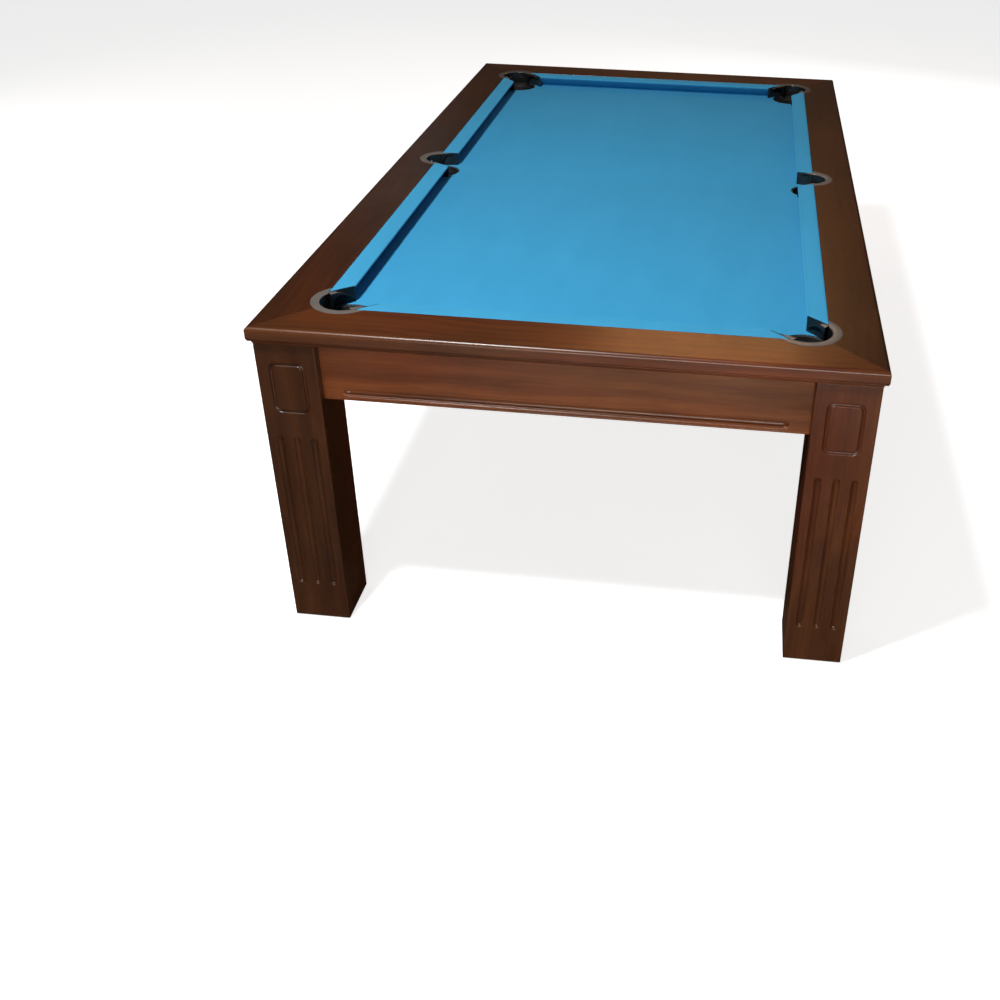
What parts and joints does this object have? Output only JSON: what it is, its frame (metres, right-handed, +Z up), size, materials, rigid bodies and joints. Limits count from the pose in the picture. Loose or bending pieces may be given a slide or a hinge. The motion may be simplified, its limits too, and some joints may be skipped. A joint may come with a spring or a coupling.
{
  "type": "pool table",
  "caption": "Slate-bed pool table with drop pockets, wide wooden rails, blue cloth and square fluted legs on levelling feet.",
  "frame": {"origin": "on the floor under the middle of the table", "axes": "+Z up, +Y along the table's length, +X across its width"},
  "size_m": [1.368, 2.42, 0.8],
  "materials": {
    "stained_wood": "walnut-brown stain under gloss lacquer",
    "frame_pine": "planed pine, unfinished",
    "zinc_steel": "bright zinc plating",
    "yellow_steel": "yellow zinc plating",
    "slate": "honed slate",
    "blue_cloth": "napped wool playing cloth",
    "cushion_rubber": "black cushion rubber",
    "facing_rubber": "hard rubber, dark teal to black",
    "pocket_ring": "grey satin moulding",
    "pocket_leather": "black leather",
    "screw_steel": "zinc-plated screw steel"
  },
  "bodies": {
    "table": {"leg_front_left": "stained_wood", "leg_front_right": "stained_wood", "leg_back_left": "stained_wood", "leg_back_right": "stained_wood", "foot_inserts": "yellow_steel", "apron_front": "stained_wood", "apron_back": "stained_wood", "apron_left": "stained_wood", "apron_right": "stained_wood", "beam_front": "frame_pine", "beam_back": "frame_pine", "beam_left": "frame_pine", "beam_right": "frame_pine", "cross_beam_1": "frame_pine", "cross_beam_2": "frame_pine", "cross_beam_3": "frame_pine", "cross_beam_4": "frame_pine", "corner_brackets": "zinc_steel", "slate_bed": "slate", "bed_cloth": "blue_cloth", "rail_front": "stained_wood", "rail_back": "stained_wood", "rail_left": "stained_wood", "rail_right": "stained_wood", "rubber_front": "cushion_rubber", "rubber_back": "cushion_rubber", "rubber_front_left": "cushion_rubber", "rubber_front_right": "cushion_rubber", "rubber_back_left": "cushion_rubber", "rubber_back_right": "cushion_rubber", "cushion_cloth_front": "blue_cloth", "cushion_cloth_back": "blue_cloth", "cushion_cloth_front_left": "blue_cloth", "cushion_cloth_front_right": "blue_cloth", "cushion_cloth_back_left": "blue_cloth", "cushion_cloth_back_right": "blue_cloth", "facings": "facing_rubber", "ring_front_left": "pocket_ring", "ring_front_right": "pocket_ring", "ring_side_left": "pocket_ring", "ring_side_right": "pocket_ring", "ring_back_left": "pocket_ring", "ring_back_right": "pocket_ring", "bag_front_left": "pocket_leather", "bag_front_right": "pocket_leather", "bag_side_left": "pocket_leather", "bag_side_right": "pocket_leather", "bag_back_left": "pocket_leather", "bag_back_right": "pocket_leather", "rail_bolts": "screw_steel", "bracket_screws": "screw_steel", "frame_screws": "screw_steel", "slate_screws": "screw_steel", "ring_screws": "screw_steel"},
    "foot_front_left": {"foot_front_left": "zinc_steel"},
    "foot_front_right": {"foot_front_right": "zinc_steel"},
    "foot_back_left": {"foot_back_left": "zinc_steel"},
    "foot_back_right": {"foot_back_right": "zinc_steel"}
  },
  "joints": [
    {"name": "level_front_left", "type": "slide", "parent": "table", "child": "foot_front_left", "axis": [0, 0, -1], "range_m": [0, 0.018]},
    {"name": "level_front_right", "type": "slide", "parent": "table", "child": "foot_front_right", "axis": [0, 0, -1], "range_m": [0, 0.018]},
    {"name": "level_back_left", "type": "slide", "parent": "table", "child": "foot_back_left", "axis": [0, 0, -1], "range_m": [0, 0.018]},
    {"name": "level_back_right", "type": "slide", "parent": "table", "child": "foot_back_right", "axis": [0, 0, -1], "range_m": [0, 0.018]}
  ]
}
